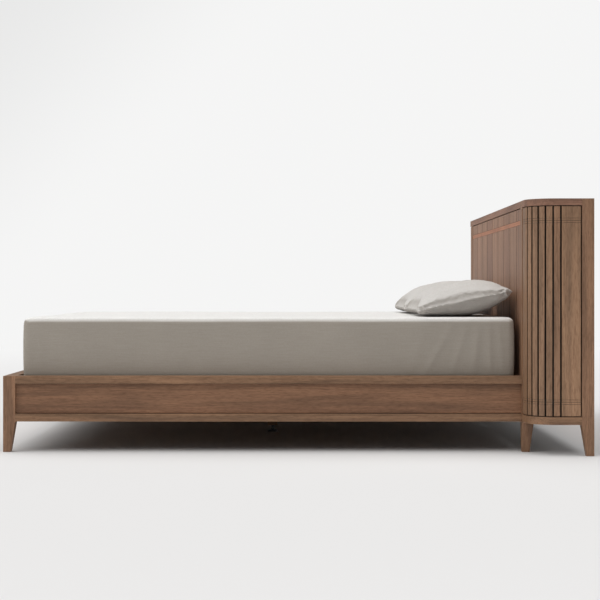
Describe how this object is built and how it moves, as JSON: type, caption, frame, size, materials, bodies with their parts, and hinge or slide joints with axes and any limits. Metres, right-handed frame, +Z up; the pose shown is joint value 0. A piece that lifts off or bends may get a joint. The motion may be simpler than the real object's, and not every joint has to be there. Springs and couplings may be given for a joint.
{
  "type": "bed",
  "caption": "Queen platform bed with a low panelled frame, tapered legs, a deep box headboard with rounded corners with vertical slats, a slatted base, mattress and pillows.",
  "frame": {"origin": "on the floor, at the centre of the bed's overall length and width", "axes": "+X along the bed from the foot to the headboard, +Y to the left side as seen from the foot looking to the head, +Z up"},
  "size_m": [2.347, 2.016, 1.01],
  "materials": {
    "walnut_frame": "satin",
    "walnut_panel": "satin",
    "walnut_tambour": "satin",
    "slat_stained": "matte",
    "copper_band": "satin",
    "steel_hardware": "satin",
    "nylon_pad": "matte",
    "mattress_cover": "matte",
    "pillow_linen": "matte"
  },
  "bodies": {
    "bed": {"beam_cleat": "slat_stained", "centre_beam": "slat_stained", "centre_leg": "slat_stained", "corner_band_lower_left": "walnut_frame", "corner_band_lower_right": "walnut_frame", "corner_band_upper_left": "walnut_frame", "corner_band_upper_right": "walnut_frame", "corner_bracket_foot_left": "steel_hardware", "corner_bracket_foot_right": "steel_hardware", "corner_bracket_head_left": "steel_hardware", "corner_bracket_head_right": "steel_hardware", "corner_tambour_left": "walnut_tambour", "corner_tambour_right": "walnut_tambour", "foot_bottom_rail": "walnut_frame", "foot_panel": "walnut_panel", "foot_post_left": "walnut_frame", "foot_post_right": "walnut_frame", "foot_top_rail": "walnut_frame", "front_band": "copper_band", "front_boards": "walnut_tambour", "head_back_panel": "walnut_panel", "head_base_back": "walnut_frame", "head_base_corner_left": "walnut_frame", "head_base_corner_right": "walnut_frame", "head_base_front": "walnut_frame", "head_front_leg_left": "walnut_frame", "head_front_leg_right": "walnut_frame", "head_front_post_left": "walnut_frame", "head_front_post_right": "walnut_frame", "head_rear_leg_left": "walnut_frame", "head_rear_leg_right": "walnut_frame", "head_rear_post_left": "walnut_frame", "head_rear_post_right": "walnut_frame", "head_top_corner_left": "walnut_frame", "head_top_corner_right": "walnut_frame", "head_top_front": "walnut_frame", "head_top_panel": "walnut_panel", "mattress": "mattress_cover", "pillow_left": "pillow_linen", "pillow_right": "pillow_linen", "side_bottom_rail_left": "walnut_frame", "side_bottom_rail_right": "walnut_frame", "side_panel_left": "walnut_panel", "side_panel_right": "walnut_panel", "side_top_rail_left": "walnut_frame", "side_top_rail_right": "walnut_frame", "slat_01": "slat_stained", "slat_02": "slat_stained", "slat_03": "slat_stained", "slat_04": "slat_stained", "slat_05": "slat_stained", "slat_06": "slat_stained", "slat_07": "slat_stained", "slat_08": "slat_stained", "slat_09": "slat_stained", "slat_10": "slat_stained", "slat_ledger_left": "slat_stained", "slat_ledger_right": "slat_stained"},
    "levelling_pad": {"leveller_pad": "nylon_pad"},
    "levelling_stem": {"leveller_stem": "steel_hardware"}
  },
  "joints": [
    {"name": "pad_travel", "type": "slide", "parent": "bed", "child": "levelling_pad", "axis": [0, 0, -1], "range_m": [-0.012, 0.01]},
    {"name": "stem_turn", "type": "hinge", "parent": "levelling_pad", "child": "levelling_stem", "pos_m": [-0.106, 0, 0.03], "axis": [0, 0, -1], "range_deg": [-2880, 2400]}
  ],
  "couplings": [
    {"joint": "stem_turn", "follows": "pad_travel", "rad_per_m": 4188.8}
  ]
}
